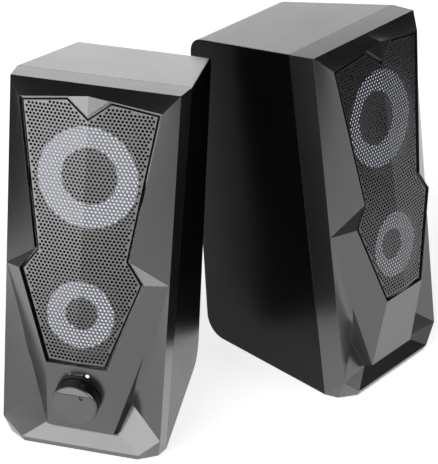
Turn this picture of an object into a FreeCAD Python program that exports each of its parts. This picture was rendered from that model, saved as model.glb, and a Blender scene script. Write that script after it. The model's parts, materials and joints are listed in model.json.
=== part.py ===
import FreeCAD, Part
import Sketcher
import math
import os
import re

# A pair of two-way desktop speakers. The main one has the volume knob, the other is driven by it.
# Each speaker's own frame: X to the right seen from the front, Y to the back, Z up, with Y = 0
# where the seam between bezel and cabinet meets the desk. Lengths in mm, angles in degrees.

SIZES = {
    # where the two speakers stand
    "pair_spacing_x": 158.3, "pair_spacing_y": 78.0, "main_turn": -14.5, "satellite_turn": 50.2,
    # cabinet: half widths at the seam and at the back, heights and depths
    "foot_height": 1.5, "foot_radius": 5.0, "foot_inset": 14.0, "cabinet_wall": 2.5,
    "seam_lean": 9.23, "edge_above_seam": 1.5, "seam_half_top": 46.6, "seam_half_foot": 43.8,
    "back_half_top": 36.4, "back_half_foot": 36.0, "back_below_seam": 16.2, "back_top_depth": 110.0,
    "back_lean": 5.37, "back_top_radius": 9.0, "back_bottom_radius": 13.0,
    # bezel, outer corners
    "edge_depth": 14.9, "edge_half_top": 45.0, "edge_half_foot": 43.9, "edge_above_brow": 1.48,
    "waist_height": 101.8, "corner_height": 14.6,
    "lip_half_width": 32.8, "lip_height": 5.0, "lip_depth": 15.4, "lip_slope": 1.0,
    "toe_half_width": 41.6, "toe_depth": 7.2,
    # fascia: the folded plane that the grille lies in, measured up the plane from the desk
    "crest_depth": 31.87, "fascia_lean": 11.09, "fold_slope": 0.0873,
    "brow_rise": 204.74, "shoulder_border": 7.4, "shoulder_drop": 5.4, "beak_half": 11.1, "beak_drop": 10.6,
    "neck_half": 25.6, "neck_above_hip": 11.8, "hip_half": 33.8, "hip_rise": 108.34,
    "chin_half": 16.5, "ledge": 1.2,
    # control panel under the grille and the undercut beside it
    "panel_depth": 11.5, "panel_tuck": 7.5, "panel_foot": 14.7, "cheek_half": 30.5, "cheek_height": 54.4,
    "undercut_half_top": 25.7, "undercut_top": 29.0, "undercut_depth_top": 3.0,
    "undercut_half_foot": 20.1, "undercut_foot": 13.1, "undercut_depth_foot": 9.1,
    # recess, grille and hollow behind them
    "recess_depth": 7.3, "recess_floor": 3.0, "grille_thickness": 0.7, "grille_sink": 1.0, "grille_gap": 0.5,
    "hollow_border": 7.0, "hollow_drop": 5.3, "hollow_half_neck": 34.0, "hollow_half_hip": 29.5,
    "hollow_half_chin": 22.0, "chin_wall": 1.5,
    # drivers: radii, and heights measured forward from the seat of the flange
    "woofer_below_brow": 44.1, "woofer_flange": 30.8, "woofer_throat": 28.8, "woofer_edge": 26.8,
    "woofer_flange_thickness": 1.2, "woofer_cap": 15.0, "woofer_coil": 10.0, "woofer_ear_circle": 33.0,
    "woofer_ear": 2.9, "woofer_basket": 14.0, "woofer_basket_foot": 19.0, "woofer_magnet": 21.0,
    "woofer_magnet_height": 8.0,
    "tweeter_above_chin": 27.6, "tweeter_flange": 22.6, "tweeter_throat": 20.0, "tweeter_edge": 18.2,
    "tweeter_flange_thickness": 2.2, "tweeter_cap": 8.8, "tweeter_coil": 6.6, "tweeter_ear_circle": 23.6,
    "tweeter_ear": 2.2, "tweeter_basket": 10.0, "tweeter_basket_foot": 13.5, "tweeter_magnet": 15.0,
    "tweeter_magnet_height": 6.0,
    "driver_hole_gap": 0.4, "basket_wall": 1.2, "window_slope": 0.45, "cone_wall": 0.6, "cone_lift": 0.2,
    "coil_wall": 0.6, "coil_gap": 0.3, "coil_room": 2.0, "coil_bite": 1.5, "plate_thickness": 3.0, "magnet_gap": 3.0,
    "cone_slope": 0.22, "surround_radius": 1.3, "surround_wall": 0.4, "cone_gap": 0.15, "cap_bulge": 0.24,
    "screw_radius": 1.2, "screw_head": 2.2, "screw_head_height": 0.9, "screw_bite": 2.4,
    "screw_clearance": 0.1,
    # volume control
    "knob_rise": 37.2, "knob_radius": 12.6, "knob_length": 6.5, "knob_gap": 0.6, "knob_chamfer": 0.8,
    "knob_recess": 9.0, "knob_recess_depth": 2.4, "knob_socket": 2.9, "knob_chord": 7.3, "knob_drop": 0.5,
    "dimple_across": 4.0, "dimple_up": 7.0, "dimple_radius": 0.9, "dimple_depth": 0.6,
    "shaft_radius": 3.0, "shaft_clearance": 0.05, "bushing_radius": 3.5, "bushing_proud": 2.6,
    "nut_flats": 10.0, "nut_thickness": 1.8, "panel_wall": 3.0, "pot_width": 16.0, "pot_depth": 7.0,
    "pot_room_half": 14.5, "pot_room_below": 13.0, "pot_room_above": 18.0,
    "board_thickness": 1.6, "board_inset": 1.0, "light_radius": 1.1, "light_across": 6.0, "light_up": 15.6,
    # sockets on the back
    "socket_height": 40.0, "socket_spacing": 18.0, "plug_radius": 1.8, "plug_length": 14.0,
    "nose_radius": 4.6, "nose_proud": 0.4, "nose_fit": 0.2, "socket_half": 5.5, "socket_depth": 13.0,
    "power_radius": 2.9, "power_pin": 1.0, "power_length": 9.5,
    "amplifier_half": 26.0, "amplifier_foot": 30.0, "amplifier_top": 84.0, "post_radius": 3.0,
    "post_inset": 5.0, "capacitor_radius": 5.0, "capacitor_length": 16.0,
    "heatsink_half": 12.0, "heatsink_depth": 14.0, "heatsink_wall": 2.0,
    # how far a cutting shape reaches past what it cuts
    "cut_margin": 1.0, "section_spare": 5.0,
}
# Places that follow from the sizes, in the order they are worked out.
DERIVED = {
    "edge_top": "brow_rise * cos(fascia_lean) + edge_above_brow",
    "seam_top": "edge_top - edge_above_seam",
    "back_top_height": "seam_top - back_below_seam",
    "shoulder_half": "edge_half_top - shoulder_border",
    "shoulder_rise": "brow_rise - shoulder_drop",
    "beak_rise": "brow_rise - beak_drop",
    "beak_edge_rise": "brow_rise - shoulder_drop * beak_half / shoulder_half",
    "neck_rise": "hip_rise + neck_above_hip",
    "chin_rise": "(crest_depth - panel_depth - chin_half * fold_slope * (cos(fascia_lean)"
                 " - sin(fascia_lean) * tan(panel_tuck))) / (sin(fascia_lean) + cos(fascia_lean) * tan(panel_tuck))",
    "hollow_half_top": "edge_half_top - hollow_border",
    "woofer_rise": "brow_rise - woofer_below_brow",
    "tweeter_rise": "chin_rise + tweeter_above_chin",
    "back_plane_foot": "back_top_depth - back_top_height * tan(back_lean)",
    "back_foot_depth": "back_plane_foot + foot_height * tan(back_lean)",
    "roof_slope": "atan((seam_top - back_top_height) / (back_top_depth - seam_top * tan(seam_lean))) / 1 deg",
    "top_bend": "back_top_radius * tan(45 - roof_slope / 2 + back_lean / 2)",
    "bottom_bend": "back_bottom_radius * tan(45 - back_lean / 2)",
}

doc = FreeCAD.newDocument("speakers")
sheet = doc.addObject("Spreadsheet::Sheet", "Sizes")
for row, (alias, number) in enumerate(SIZES.items(), start=1):
    sheet.set(f"A{row}", alias)
    sheet.set(f"B{row}", str(number))
    sheet.setAlias(f"B{row}", alias)
for row, (alias, formula) in enumerate(DERIVED.items(), start=len(SIZES) + 1):
    sheet.set(f"A{row}", alias)
    sheet.set(f"B{row}", "=" + formula)
    sheet.setAlias(f"B{row}", alias)
doc.recompute()

Vector = FreeCAD.Vector
names = SIZES | DERIVED
pieces = []


def bound(expression):
    """The expression with each size's name pointing at its cell in the sheet."""
    return re.sub(r"[a-z][a-z_]+", lambda word: ("Sizes." if word.group() in names else "") + word.group(),
                  str(expression))


def value(expression):
    return float(sheet.evalExpression(bound(expression)))


def tie(thing, name, expression):
    """Give a property its present value and bind it to the sheet."""
    if "." not in name and not name.startswith("Constraints"):
        setattr(thing, name, value(expression))
    thing.setExpression(name, bound(expression))


# ---------------------------------------------------------------- sketches and features

def new_body(label, placement):
    body = doc.addObject("PartDesign::Body", label)
    body.Label = label
    body.AllowCompound = True
    pieces.append((body, placement))
    return body


def sketch_on(body, role, name, lift=None):
    """A sketch on one of the body's origin planes, moved along its normal by the lift."""
    sketch = body.newObject("Sketcher::SketchObject", name)
    plane = next(item for item in body.Origin.OriginFeatures if item.Role == role)
    sketch.AttachmentSupport = [(plane, "")]
    sketch.MapMode = "FlatFace"
    if lift is not None:
        sketch.AttachmentOffset = FreeCAD.Placement(Vector(0, 0, value(lift)), FreeCAD.Rotation())
        tie(sketch, "AttachmentOffset.Base.z", lift)
    return sketch


def outline(sketch, corners):
    """A closed outline. Each corner is (across, up), or (across, up, radius, side) where an arc starts
    with its centre on the left of the way along it (side 1) or on the right (side -1)."""
    spots = [Vector(value(corner[0]), value(corner[1]), 0) for corner in corners]
    first = sketch.GeometryCount
    ends = []
    for corner, here, there in zip(corners, spots, spots[1:] + spots[:1]):
        if len(corner) == 2:
            sketch.addGeometry(Part.LineSegment(here, there))
            ends.append((1, 2))
        else:
            edge = sketch.addGeometry(arc(here, there, value(corner[2]), corner[3]))
            held = sketch.addConstraint(Sketcher.Constraint("Radius", edge, value(corner[2])))
            tie(sketch, f"Constraints[{held}]", corner[2])
            ends.append((1, 2) if corner[3] > 0 else (2, 1))
    for index, (across, up, *_) in enumerate(corners):
        following = (index + 1) % len(corners)
        sketch.addConstraint(Sketcher.Constraint("Coincident", first + index, ends[index][1],
                                                 first + following, ends[following][0]))
        pin(sketch, first + index, ends[index][0], across, up)


def arc(here, there, radius, side):
    chord = there - here
    left = Vector(-chord.y, chord.x, 0).normalize()
    centre = (here + there) * 0.5 + left * (side * math.sqrt(radius ** 2 - chord.Length ** 2 / 4))
    start, end = (here, there) if side > 0 else (there, here)
    angles = [math.atan2(spot.y - centre.y, spot.x - centre.x) for spot in (start, end)]
    return Part.ArcOfCircle(Part.Circle(centre, Vector(0, 0, 1), radius), *angles)


def pin(sketch, edge, end, across, up):
    """Hold a point of a sketch at a place given by two expressions."""
    for kind, expression in (("DistanceX", across), ("DistanceY", up)):
        held = sketch.addConstraint(Sketcher.Constraint(kind, -1, 1, edge, end, value(expression)))
        tie(sketch, f"Constraints[{held}]", expression)


def box_corners(left, right, low, high):
    return [(left, low), (right, low), (right, high), (left, high)]


def circle(sketch, radius, across="0", up="0"):
    centre = Vector(value(across), value(up), 0)
    edge = sketch.addGeometry(Part.Circle(centre, Vector(0, 0, 1), value(radius)))
    held = sketch.addConstraint(Sketcher.Constraint("Radius", edge, value(radius)))
    tie(sketch, f"Constraints[{held}]", radius)
    pin(sketch, edge, 3, across, up)


def extrude(body, kind, sketch, length, reverse=False, midplane=False, through=False):
    feature = body.newObject("PartDesign::" + kind, sketch.Name + "_" + kind.lower())
    feature.Profile = sketch
    feature.Reversed = reverse
    feature.Midplane = midplane
    if through:
        feature.Type = "ThroughAll"
    else:
        tie(feature, "Length", length)
    return feature


def pad(body, sketch, length, **options):
    return extrude(body, "Pad", sketch, length, **options)


def pocket(body, sketch, length="1", **options):
    """Cut with a sketch, and make sure that something was cut."""
    doc.recompute()
    before = body.Shape.Volume
    feature = extrude(body, "Pocket", sketch, length, **options)
    doc.recompute()
    if body.Shape.Volume > before - 1e-6:
        raise RuntimeError(f"{feature.Name} of {body.Label} cuts nothing")
    return feature


def turned(body, name, corners, kind="Revolution"):
    """Turn a closed profile of (radius, height) corners about the body's own Z axis."""
    sketch = sketch_on(body, "XZ_Plane", name)
    outline(sketch, corners)
    feature = body.newObject("PartDesign::" + kind, name + "_turned")
    feature.Profile = sketch
    feature.ReferenceAxis = (sketch, ["V_Axis"])
    feature.Angle = 360
    return feature


def around(body, features, count):
    """Repeat features evenly about the body's own Z axis."""
    pattern = body.newObject("PartDesign::PolarPattern", features[0].Name + "_around")
    pattern.Originals = features
    axis = next(item for item in body.Origin.OriginFeatures if item.Role == "Z_Axis")
    pattern.Axis = (axis, [""])
    pattern.Angle = 360
    pattern.Occurrences = count
    body.Tip = pattern
    return pattern


# ---------------------------------------------------------------- leaning planes

# Each plane leans about X: where it meets the desk's height, and how far its top leans to the back.
PLANES = {
    "fascia": ("-crest_depth", "fascia_lean"),
    "panel": ("-panel_depth", "-panel_tuck"),
    "seam": ("0", "seam_lean"),
    "rear": ("back_plane_foot", "back_lean"),
}


def leaning(name):
    """The frame of a plane: X across, Y into the speaker, Z up the plane."""
    foot, lean = (value(expression) for expression in PLANES[name])
    return FreeCAD.Placement(Vector(0, foot, 0), FreeCAD.Rotation(Vector(1, 0, 0), -lean))


def outward(name, across="0", inward="0", rise="0", turn=90):
    """A frame at a spot on a leaning plane, with Z out of the speaker's front, or its back at -90."""
    spot = FreeCAD.Placement(Vector(value(across), value(inward), value(rise)),
                             FreeCAD.Rotation(Vector(1, 0, 0), turn))
    return leaning(name).multiply(spot)


def leaning_sketch(body, plane, name, inward="0"):
    """A sketch on a leaning plane, or parallel to it further into the speaker."""
    sketch = sketch_on(body, "XZ_Plane", name)
    foot, lean = PLANES[plane]
    sketch.AttachmentOffset = FreeCAD.Placement(Vector(), FreeCAD.Rotation(Vector(1, 0, 0), -1))
    tie(sketch, "AttachmentOffset.Rotation.Angle", f"-({lean})")
    tie(sketch, "AttachmentOffset.Base.y", f"-({inward}) * sin({lean})")
    tie(sketch, "AttachmentOffset.Base.z", f"-({foot}) - ({inward}) * cos({lean})")
    return sketch


def on_fascia(half, rise):
    """A corner on the right half of the folded plane."""
    across = value(half)
    return leaning("fascia").multVec(Vector(across, across * value("fold_slope"), value(rise)))


def edge_corner(height):
    """A corner on the bezel's outer front edge."""
    height = value(height)
    foot, top = value("edge_half_foot"), value("edge_half_top")
    half = foot + (top - foot) * height / value("edge_top")
    return Vector(half, height * math.tan(math.radians(value("seam_lean"))) - value("edge_depth"), height)


def seam_corner(height):
    """A corner where the seam plane meets the side of the cabinet."""
    height = value(height)
    depth = height * math.tan(math.radians(value("seam_lean")))
    foot, top = value("seam_half_foot"), value("seam_half_top")
    return Vector(foot + (top - foot) * height / value("seam_top"), depth, height)


# ---------------------------------------------------------------- cabinet

def upright_section(body, plane, name, half_foot, half_top, top):
    """A section on a leaning plane, from below the desk up to past the cabinet's top at that plane."""
    section = leaning_sketch(body, plane, name)
    low, high = "-section_spare", "(seam_top + section_spare)"
    spread = f"(({half_top} - {half_foot}) / ({top}) * cos({PLANES[plane][1]}))"
    at_low, at_high = f"({half_foot} + {low} * {spread})", f"({half_foot} + {high} * {spread})"
    outline(section, [(f"-{at_low}", low), (at_low, low), (at_high, high), (f"-{at_high}", high)])
    return section


def cabinet_form(body, name, inset):
    """Sides that close in from the seam to the back, trimmed to the side view, all drawn in by the inset."""
    front = upright_section(body, "seam", name + "_seam_section", f"(seam_half_foot - {inset})",
                            f"(seam_half_top - {inset})", "seam_top")
    rear = upright_section(body, "rear", name + "_rear_section", f"(back_half_foot - {inset})",
                           f"(back_half_top - {inset})", "back_top_height")
    sides = body.newObject("PartDesign::AdditiveLoft", name + "_sides")
    sides.Profile = front
    sides.Sections = [rear]
    sides.Ruled = True

    side_view = sketch_on(body, "YZ_Plane", name + "_side_view")
    outline(side_view, box_corners("-2 * section_spare", "back_top_depth + 2 * section_spare",
                                   "-2 * section_spare", "seam_top + 2 * section_spare"))
    low = f"foot_height + {inset}"
    ahead = f"{inset} * cos(back_lean)"
    raised = f"{inset} * sin(back_lean)"
    roof = f"seam_top - {inset} / (cos(roof_slope) + sin(roof_slope) * tan(seam_lean))"
    outline(side_view, [
        (f"({low}) * tan(seam_lean)", low),
        ("back_foot_depth - bottom_bend", low, f"back_bottom_radius - {inset}", 1),
        (f"back_foot_depth + bottom_bend * sin(back_lean) - {ahead}",
         f"foot_height + bottom_bend * cos(back_lean) + {raised}"),
        (f"back_top_depth - top_bend * sin(back_lean) - {ahead}",
         f"back_top_height - top_bend * cos(back_lean) + {raised}", f"back_top_radius - {inset}", 1),
        (f"back_top_depth - top_bend * cos(roof_slope) - {inset} * sin(roof_slope)",
         f"back_top_height + top_bend * sin(roof_slope) - {inset} * cos(roof_slope)"),
        (f"({roof}) * tan(seam_lean)", roof)])
    pocket(body, side_view, midplane=True, through=True)


def cabinet(speaker, socket_places):
    """A box that leans back, narrows to the rear, and is open at the seam with the bezel."""
    name = speaker.name
    core = doc.addObject("PartDesign::Body", name + "_cabinet_core")
    cabinet_form(core, name + "_core", "cabinet_wall")
    body = new_body(name + "_cabinet", speaker.place)
    cabinet_form(body, name + "_cabinet", "0")
    hollow = body.newObject("PartDesign::Boolean", name + "_hollow")
    hollow.Type = "Cut"
    hollow.setObjects([core])
    doc.recompute()

    for index, (across, radius) in enumerate(socket_places):
        hole = leaning_sketch(body, "rear", f"{name}_socket_hole_{index}", "-cabinet_wall - cut_margin")
        circle(hole, radius, across, "socket_height")
        pocket(body, hole, "cabinet_wall + 2 * cut_margin")
    if speaker.powered:
        posts = leaning_sketch(body, "rear", name + "_posts", "-cabinet_wall")
        for side in ("-1", "1"):
            circle(posts, "post_radius", f"{side} * (amplifier_half - post_inset)", "amplifier_top - post_inset")
        pad(body, posts, "socket_depth")
    return body


def feet(speaker):
    """Four rubber pads under the cabinet's corners."""
    body = new_body(speaker.name + "_feet", speaker.place)
    soles = sketch_on(body, "XY_Plane", speaker.name + "_soles")
    front, rear = "foot_inset", "back_top_depth - 2 * foot_inset - back_bottom_radius"
    for depth in (front, rear):
        for side in ("-1", "1"):
            circle(soles, "foot_radius", f"{side} * (seam_half_foot - foot_inset)", depth)
    pad(body, soles, "foot_height")
    return body


# ---------------------------------------------------------------- bezel

def plane_depth(corners, across, height):
    """Where the plane through three corners lies in Y at a place seen from the front."""
    first, second, third = corners
    normal = (second - first).cross(third - first)
    return first.y - (normal.x * (across - first.x) + normal.z * (height - first.z)) / normal.y


def plane_half(corners, depth, height):
    """Where the plane through three corners lies in X at a given depth and height."""
    first, second, third = corners
    normal = (second - first).cross(third - first)
    return first.x - (normal.y * (depth - first.y) + normal.z * (height - first.z)) / normal.x


def bezel_corners():
    """The right half's corners by name; those on the middle line have X = 0."""
    sunk = leaning("fascia").Rotation.multVec(Vector(0, value("grille_sink + grille_thickness"), 0))
    at = {
        "top": edge_corner("edge_top"), "waist": edge_corner("waist_height"),
        "corner": edge_corner("corner_height"),
        "seam_top": seam_corner("seam_top"), "seam_waist": seam_corner("waist_height"),
        "seam_foot": seam_corner("foot_height"),
        "brow_middle": on_fascia("0", "brow_rise"), "shoulder": on_fascia("shoulder_half", "shoulder_rise"),
        "neck": on_fascia("neck_half", "neck_rise"), "hip": on_fascia("hip_half", "hip_rise"),
        "chin": on_fascia("chin_half", "chin_rise"), "chin_middle": on_fascia("0", "chin_rise"),
        "beak_tip": on_fascia("0", "beak_rise"),
        "beak": on_fascia("beak_half", "beak_edge_rise"),
        "toe": Vector(value("toe_half_width"), -value("toe_depth"), value("foot_height")),
        "lip": Vector(value("lip_half_width"), -value("lip_depth"), value("lip_height")),
        "lip_foot": Vector(value("lip_half_width - lip_slope"), value("lip_slope * foot_height - lip_depth"),
                           value("foot_height")),
        "undercut": Vector(value("undercut_half_top"), -value("undercut_depth_top"), value("undercut_top")),
        "undercut_foot": Vector(value("undercut_half_foot"), -value("undercut_depth_foot"),
                                value("undercut_foot")),
    }
    at["top_middle"] = Vector(0, at["top"].y, at["top"].z)
    share = value("beak_half / shoulder_half")
    at["top_beak"] = at["top_middle"] + (at["top"] - at["top_middle"]) * share
    block = at["waist"], at["hip"], at["chin"]
    foot = value("panel_foot")
    depth = -value("panel_depth + panel_foot * tan(panel_tuck)")
    at["panel_foot"] = Vector(plane_half(block, depth, foot), depth, foot)
    across, height = value("cheek_half"), value("cheek_height")
    at["cheek"] = Vector(across, plane_depth(block, across, height), height)
    for name in ("beak_tip", "beak", "shoulder", "neck", "hip", "chin", "chin_middle"):
        at["sunk_" + name] = at[name] + sunk
    return at


# The facets of the right half, by their corners in turn; the left half mirrors them.
HALF_FACETS = [
    "top_middle top_beak beak brow_middle", "top_beak top shoulder beak",
    "top waist neck shoulder", "waist hip neck", "waist cheek panel_foot chin hip",
    "brow_middle beak beak_tip",
    "beak beak_tip sunk_beak_tip sunk_beak", "shoulder beak sunk_beak sunk_shoulder",
    "neck shoulder sunk_shoulder sunk_neck", "hip neck sunk_neck sunk_hip", "chin hip sunk_hip sunk_chin",
    "sunk_beak_tip sunk_beak sunk_shoulder sunk_neck sunk_hip sunk_chin sunk_chin_middle",
    "waist corner undercut cheek", "cheek undercut undercut_foot panel_foot",
    "undercut corner undercut_foot", "undercut_foot corner lip", "corner toe lip_foot lip",
    "corner seam_foot toe",
    "top seam_top seam_waist waist", "waist seam_waist seam_foot corner",
]
# The facets that cross the middle line: their right-hand corners, and the one on the line if any.
MIDDLE_FACETS = [
    ("top_beak top seam_top", "top_middle"), ("seam_top seam_waist seam_foot", None),
    ("seam_foot toe lip_foot", None), ("lip_foot lip", None), ("lip undercut_foot", None),
    ("undercut_foot panel_foot", None), ("panel_foot chin", None),
    ("sunk_chin chin", "sunk_chin_middle"),
]


def facet(corners):
    """A flat facet, or a ruled one where its four corners don't lie in a plane."""
    normal = (corners[1] - corners[0]).cross(corners[2] - corners[0]).normalize()
    if len(corners) != 4 or abs(normal.dot(corners[3] - corners[0])) < 1e-6:
        return Part.Face(Part.makePolygon(corners + corners[:1]))
    first, second, third, fourth = corners
    return Part.makeRuledSurface(Part.LineSegment(first, second).toShape(),
                                 Part.LineSegment(fourth, third).toShape())


def bezel_blank(label):
    """The faceted solid in front of the seam, with the grille's folded seat sunk into it."""
    at = bezel_corners()
    flip = {name: Vector(-corner.x, corner.y, corner.z) for name, corner in at.items()}
    faces = []
    for names in HALF_FACETS:
        faces += [facet([half[name] for name in names.split()]) for half in (at, flip)]
    for names, middle in MIDDLE_FACETS:
        right = [at[name] for name in names.split()]
        left = [flip[name] for name in reversed(names.split())]
        faces.append(facet(right + left + ([at[middle]] if middle else [])))
    shell = Part.makeShell(faces)
    shell.sewShape()
    solid = Part.makeSolid(shell)
    if solid.Volume < 0:
        solid.reverse()
    blank = doc.addObject("Part::Feature", label)
    blank.Shape = solid
    return blank


# The grille opening's corners from the crest outwards: half width, rise, and which way is inwards.
OPENING = [
    ("beak_half", "beak_edge_rise", "0.5", "-1"),
    ("shoulder_half", "shoulder_rise", "-1", "-1"), ("neck_half", "neck_rise", "-1", "-0.3"),
    ("hip_half", "hip_rise", "-1.2", "0"), ("chin_half", "chin_rise", "-0.7", "1"),
]


def opening_corners(inset):
    """The whole outline of the opening, drawn in from its edge by the inset."""
    right = [(f"{half} + {inward} * {inset}", f"{rise} + {up} * {inset}") for half, rise, inward, up in OPENING]
    left = [(f"-({half})", rise) for half, rise in reversed(right)]
    return [("0", f"beak_rise - 1.3 * {inset}")] + right + left


HOLLOW = [("hollow_half_top", "shoulder_rise - hollow_drop"), ("hollow_half_neck", "neck_rise"),
          ("hollow_half_hip", "hip_rise"), ("hollow_half_chin", "chin_rise + chin_wall")]


def screw_places(kind):
    """Where a driver's four screws go, seen from the front."""
    reach = f"{kind}_ear_circle * cos(45)"
    return [(f"{across} * {reach}", f"{kind}_rise + {up} * {reach}") for across in (1, -1) for up in (1, -1)]


def bezel(speaker):
    """The faceted front moulding: recess and floor for the drivers, hollow behind them."""
    name = speaker.name
    body = new_body(name + "_bezel", speaker.place)
    body.BaseFeature = bezel_blank(name + "_bezel_blank")
    doc.recompute()

    hollow = leaning_sketch(body, "fascia", name + "_hollow_behind", "recess_depth + recess_floor")
    outline(hollow, HOLLOW + [(f"-{half}", rise) for half, rise in reversed(HOLLOW)])
    pocket(body, hollow, through=True)
    clearance = leaning_sketch(body, "fascia", name + "_flange_clearance")
    holes = leaning_sketch(body, "fascia", name + "_driver_holes", "recess_depth - cut_margin")
    for kind in ("woofer", "tweeter"):
        circle(clearance, f"{kind}_flange + driver_hole_gap", "0", f"{kind}_rise")
        circle(holes, f"{kind}_throat + driver_hole_gap", "0", f"{kind}_rise")
        for across, rise in screw_places(kind):
            circle(holes, "screw_radius + screw_clearance", across, rise)
    pocket(body, clearance, "recess_depth")
    recess = leaning_sketch(body, "fascia", name + "_recess")
    outline(recess, opening_corners("ledge"))
    pocket(body, recess, "recess_depth")
    pocket(body, holes, "recess_floor + 2 * cut_margin")
    if speaker.powered:
        room = leaning_sketch(body, "panel", name + "_control_room", "panel_wall")
        outline(room, box_corners("-pot_room_half", "pot_room_half", "knob_rise - pot_room_below",
                                  "knob_rise + pot_room_above"))
        pocket(body, room, through=True)
        holes = leaning_sketch(body, "panel", name + "_control_holes", "-cut_margin")
        circle(holes, "bushing_radius + shaft_clearance", "0", "knob_rise")
        circle(holes, "light_radius", "light_across", "knob_rise + light_up")
        pocket(body, holes, "panel_wall + 2 * cut_margin")
    return body


def grille(speaker):
    """Sheet steel folded along the crest, on the ledge inside the opening."""
    name = speaker.name
    body = new_body(name + "_grille", speaker.place.multiply(leaning("fascia")))
    section = sketch_on(body, "XY_Plane", name + "_grille_fold", "chin_rise - cut_margin")
    half = "(hip_half + shoulder_half)"
    front, back = "grille_sink", "(grille_sink + grille_thickness)"
    outline(section, [("0", front), (half, f"{front} + fold_slope * {half}"),
                      (half, f"{back} + fold_slope * {half}"), ("0", back),
                      (f"-{half}", f"{back} + fold_slope * {half}"),
                      (f"-{half}", f"{front} + fold_slope * {half}")])
    pad(body, section, "brow_rise")
    trim = sketch_on(body, "XZ_Plane", name + "_grille_trim")
    outline(trim, box_corners(f"-2 * {half}", f"2 * {half}", "-brow_rise", "3 * brow_rise"))
    outline(trim, opening_corners("grille_gap"))
    pocket(body, trim, through=True)
    return body


# ---------------------------------------------------------------- drivers

def driver_body(speaker, kind, piece):
    """A body in the driver's own frame: Z forward, origin on the seat of its flange."""
    place = speaker.place.multiply(outward("fascia", "0", "recess_depth", kind + "_rise"))
    return new_body(f"{speaker.name}_{kind}_{piece}", place)


def cone_height(kind, radius):
    """Height of the cone's front face at a radius."""
    return f"({kind}_flange_thickness + cone_lift - ({kind}_edge - ({radius})) * cone_slope)"


def basket(speaker, kind):
    body = driver_body(speaker, kind, "basket")
    wall = "basket_wall"
    turned(body, body.Label + "_profile", [
        (f"{kind}_throat - {wall}", f"{kind}_flange_thickness"), (f"{kind}_flange", f"{kind}_flange_thickness"),
        (f"{kind}_flange", "0"), (f"{kind}_throat", "0"),
        (f"{kind}_basket_foot", f"-{kind}_basket"), (f"{kind}_coil + coil_room", f"-{kind}_basket"),
        (f"{kind}_coil + coil_room", f"-{kind}_basket + {wall}"),
        (f"{kind}_basket_foot - {wall}", f"-{kind}_basket + {wall}"), (f"{kind}_throat - {wall}", "0")])
    ears = sketch_on(body, "XY_Plane", body.Label + "_ears")
    reach = f"{kind}_ear_circle * cos(45)"
    for across in ("-1", "1"):
        for up in ("-1", "1"):
            circle(ears, f"{kind}_ear", f"{across} * {reach}", f"{up} * {reach}")
    pad(body, ears, f"{kind}_flange_thickness")
    holes = sketch_on(body, "XY_Plane", body.Label + "_screw_holes", f"{kind}_flange_thickness + cut_margin")
    for across in ("-1", "1"):
        for up in ("-1", "1"):
            circle(holes, "screw_radius + screw_clearance", f"{across} * {reach}", f"{up} * {reach}")
    pocket(body, holes, f"{kind}_flange_thickness + 2 * cut_margin")
    window = sketch_on(body, "XY_Plane", body.Label + "_window", "-1.5 * basket_wall")
    inner, outer = f"({kind}_basket_foot + cut_margin / 2)", f"({kind}_throat + 2 * cut_margin)"
    outline(window, [(inner, f"-{inner} * window_slope"), (outer, f"-{outer} * window_slope"),
                     (outer, f"{outer} * window_slope"), (inner, f"{inner} * window_slope")])
    opening = pocket(body, window, f"{kind}_basket - 2.5 * basket_wall")
    around(body, [opening], 4)
    return body


def motor(speaker, kind):
    """Top plate, ring magnet and yoke, stacked behind the basket."""
    coil, foot = f"{kind}_coil", f"{kind}_basket_foot"
    top = f"(-{kind}_basket)"
    behind = f"({top} - plate_thickness)"
    last = f"({behind} - {kind}_magnet_height)"
    plate = driver_body(speaker, kind, "top_plate")
    turned(plate, plate.Label + "_profile", box_corners(
        f"{coil} + coil_wall / 2 + coil_gap", foot, behind, top))
    magnet = driver_body(speaker, kind, "magnet")
    turned(magnet, magnet.Label + "_profile", box_corners(
        f"{coil} + magnet_gap", f"{kind}_magnet", last, behind))
    yoke = driver_body(speaker, kind, "yoke")
    pole = f"({coil} - coil_wall / 2 - coil_gap)"
    turned(yoke, yoke.Label + "_profile", [("0", top), (pole, top), (pole, last), (foot, last),
                                           (foot, f"{last} - plate_thickness"), ("0", f"{last} - plate_thickness")])


def moving_parts(speaker, kind):
    """Cone, dust cap and voice coil, which slide along the axis together."""
    coil, edge, cap = f"{kind}_coil", f"{kind}_edge", f"{kind}_cap"
    neck = f"({coil} + coil_wall / 2)"
    cone = driver_body(speaker, kind, "cone")
    turned(cone, cone.Label + "_profile", [
        (neck, cone_height(kind, neck)), (edge, cone_height(kind, edge)),
        (edge, cone_height(kind, edge) + " - cone_wall"), (neck, cone_height(kind, neck) + " - cone_wall")])
    cap_body = driver_body(speaker, kind, "dust_cap")
    dome(cap_body, cap, cone_height(kind, cap), f"{cap} * cap_bulge", "cone_wall")
    former = driver_body(speaker, kind, "voice_coil")
    turned(former, former.Label + "_profile", box_corners(
        f"{coil} - coil_wall / 2", neck, f"-{kind}_basket - plate_thickness - coil_bite",
        cone_height(kind, neck)))


def dome(body, radius, base, rise, wall):
    """A thin cap of a sphere, standing on its rim."""
    sphere = f"(({radius}) ^ 2 + ({rise}) ^ 2) / (2 * ({rise}))"
    inner = f"({sphere} - {wall})"
    rim = f"sqrt({inner} ^ 2 - ({sphere} - ({rise})) ^ 2)"
    turned(body, body.Label + "_profile", [
        ("0", f"{base} + {rise}", sphere, -1), (radius, base), (rim, base, inner, 1),
        ("0", f"{base} + {rise} - {wall}")])


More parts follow.
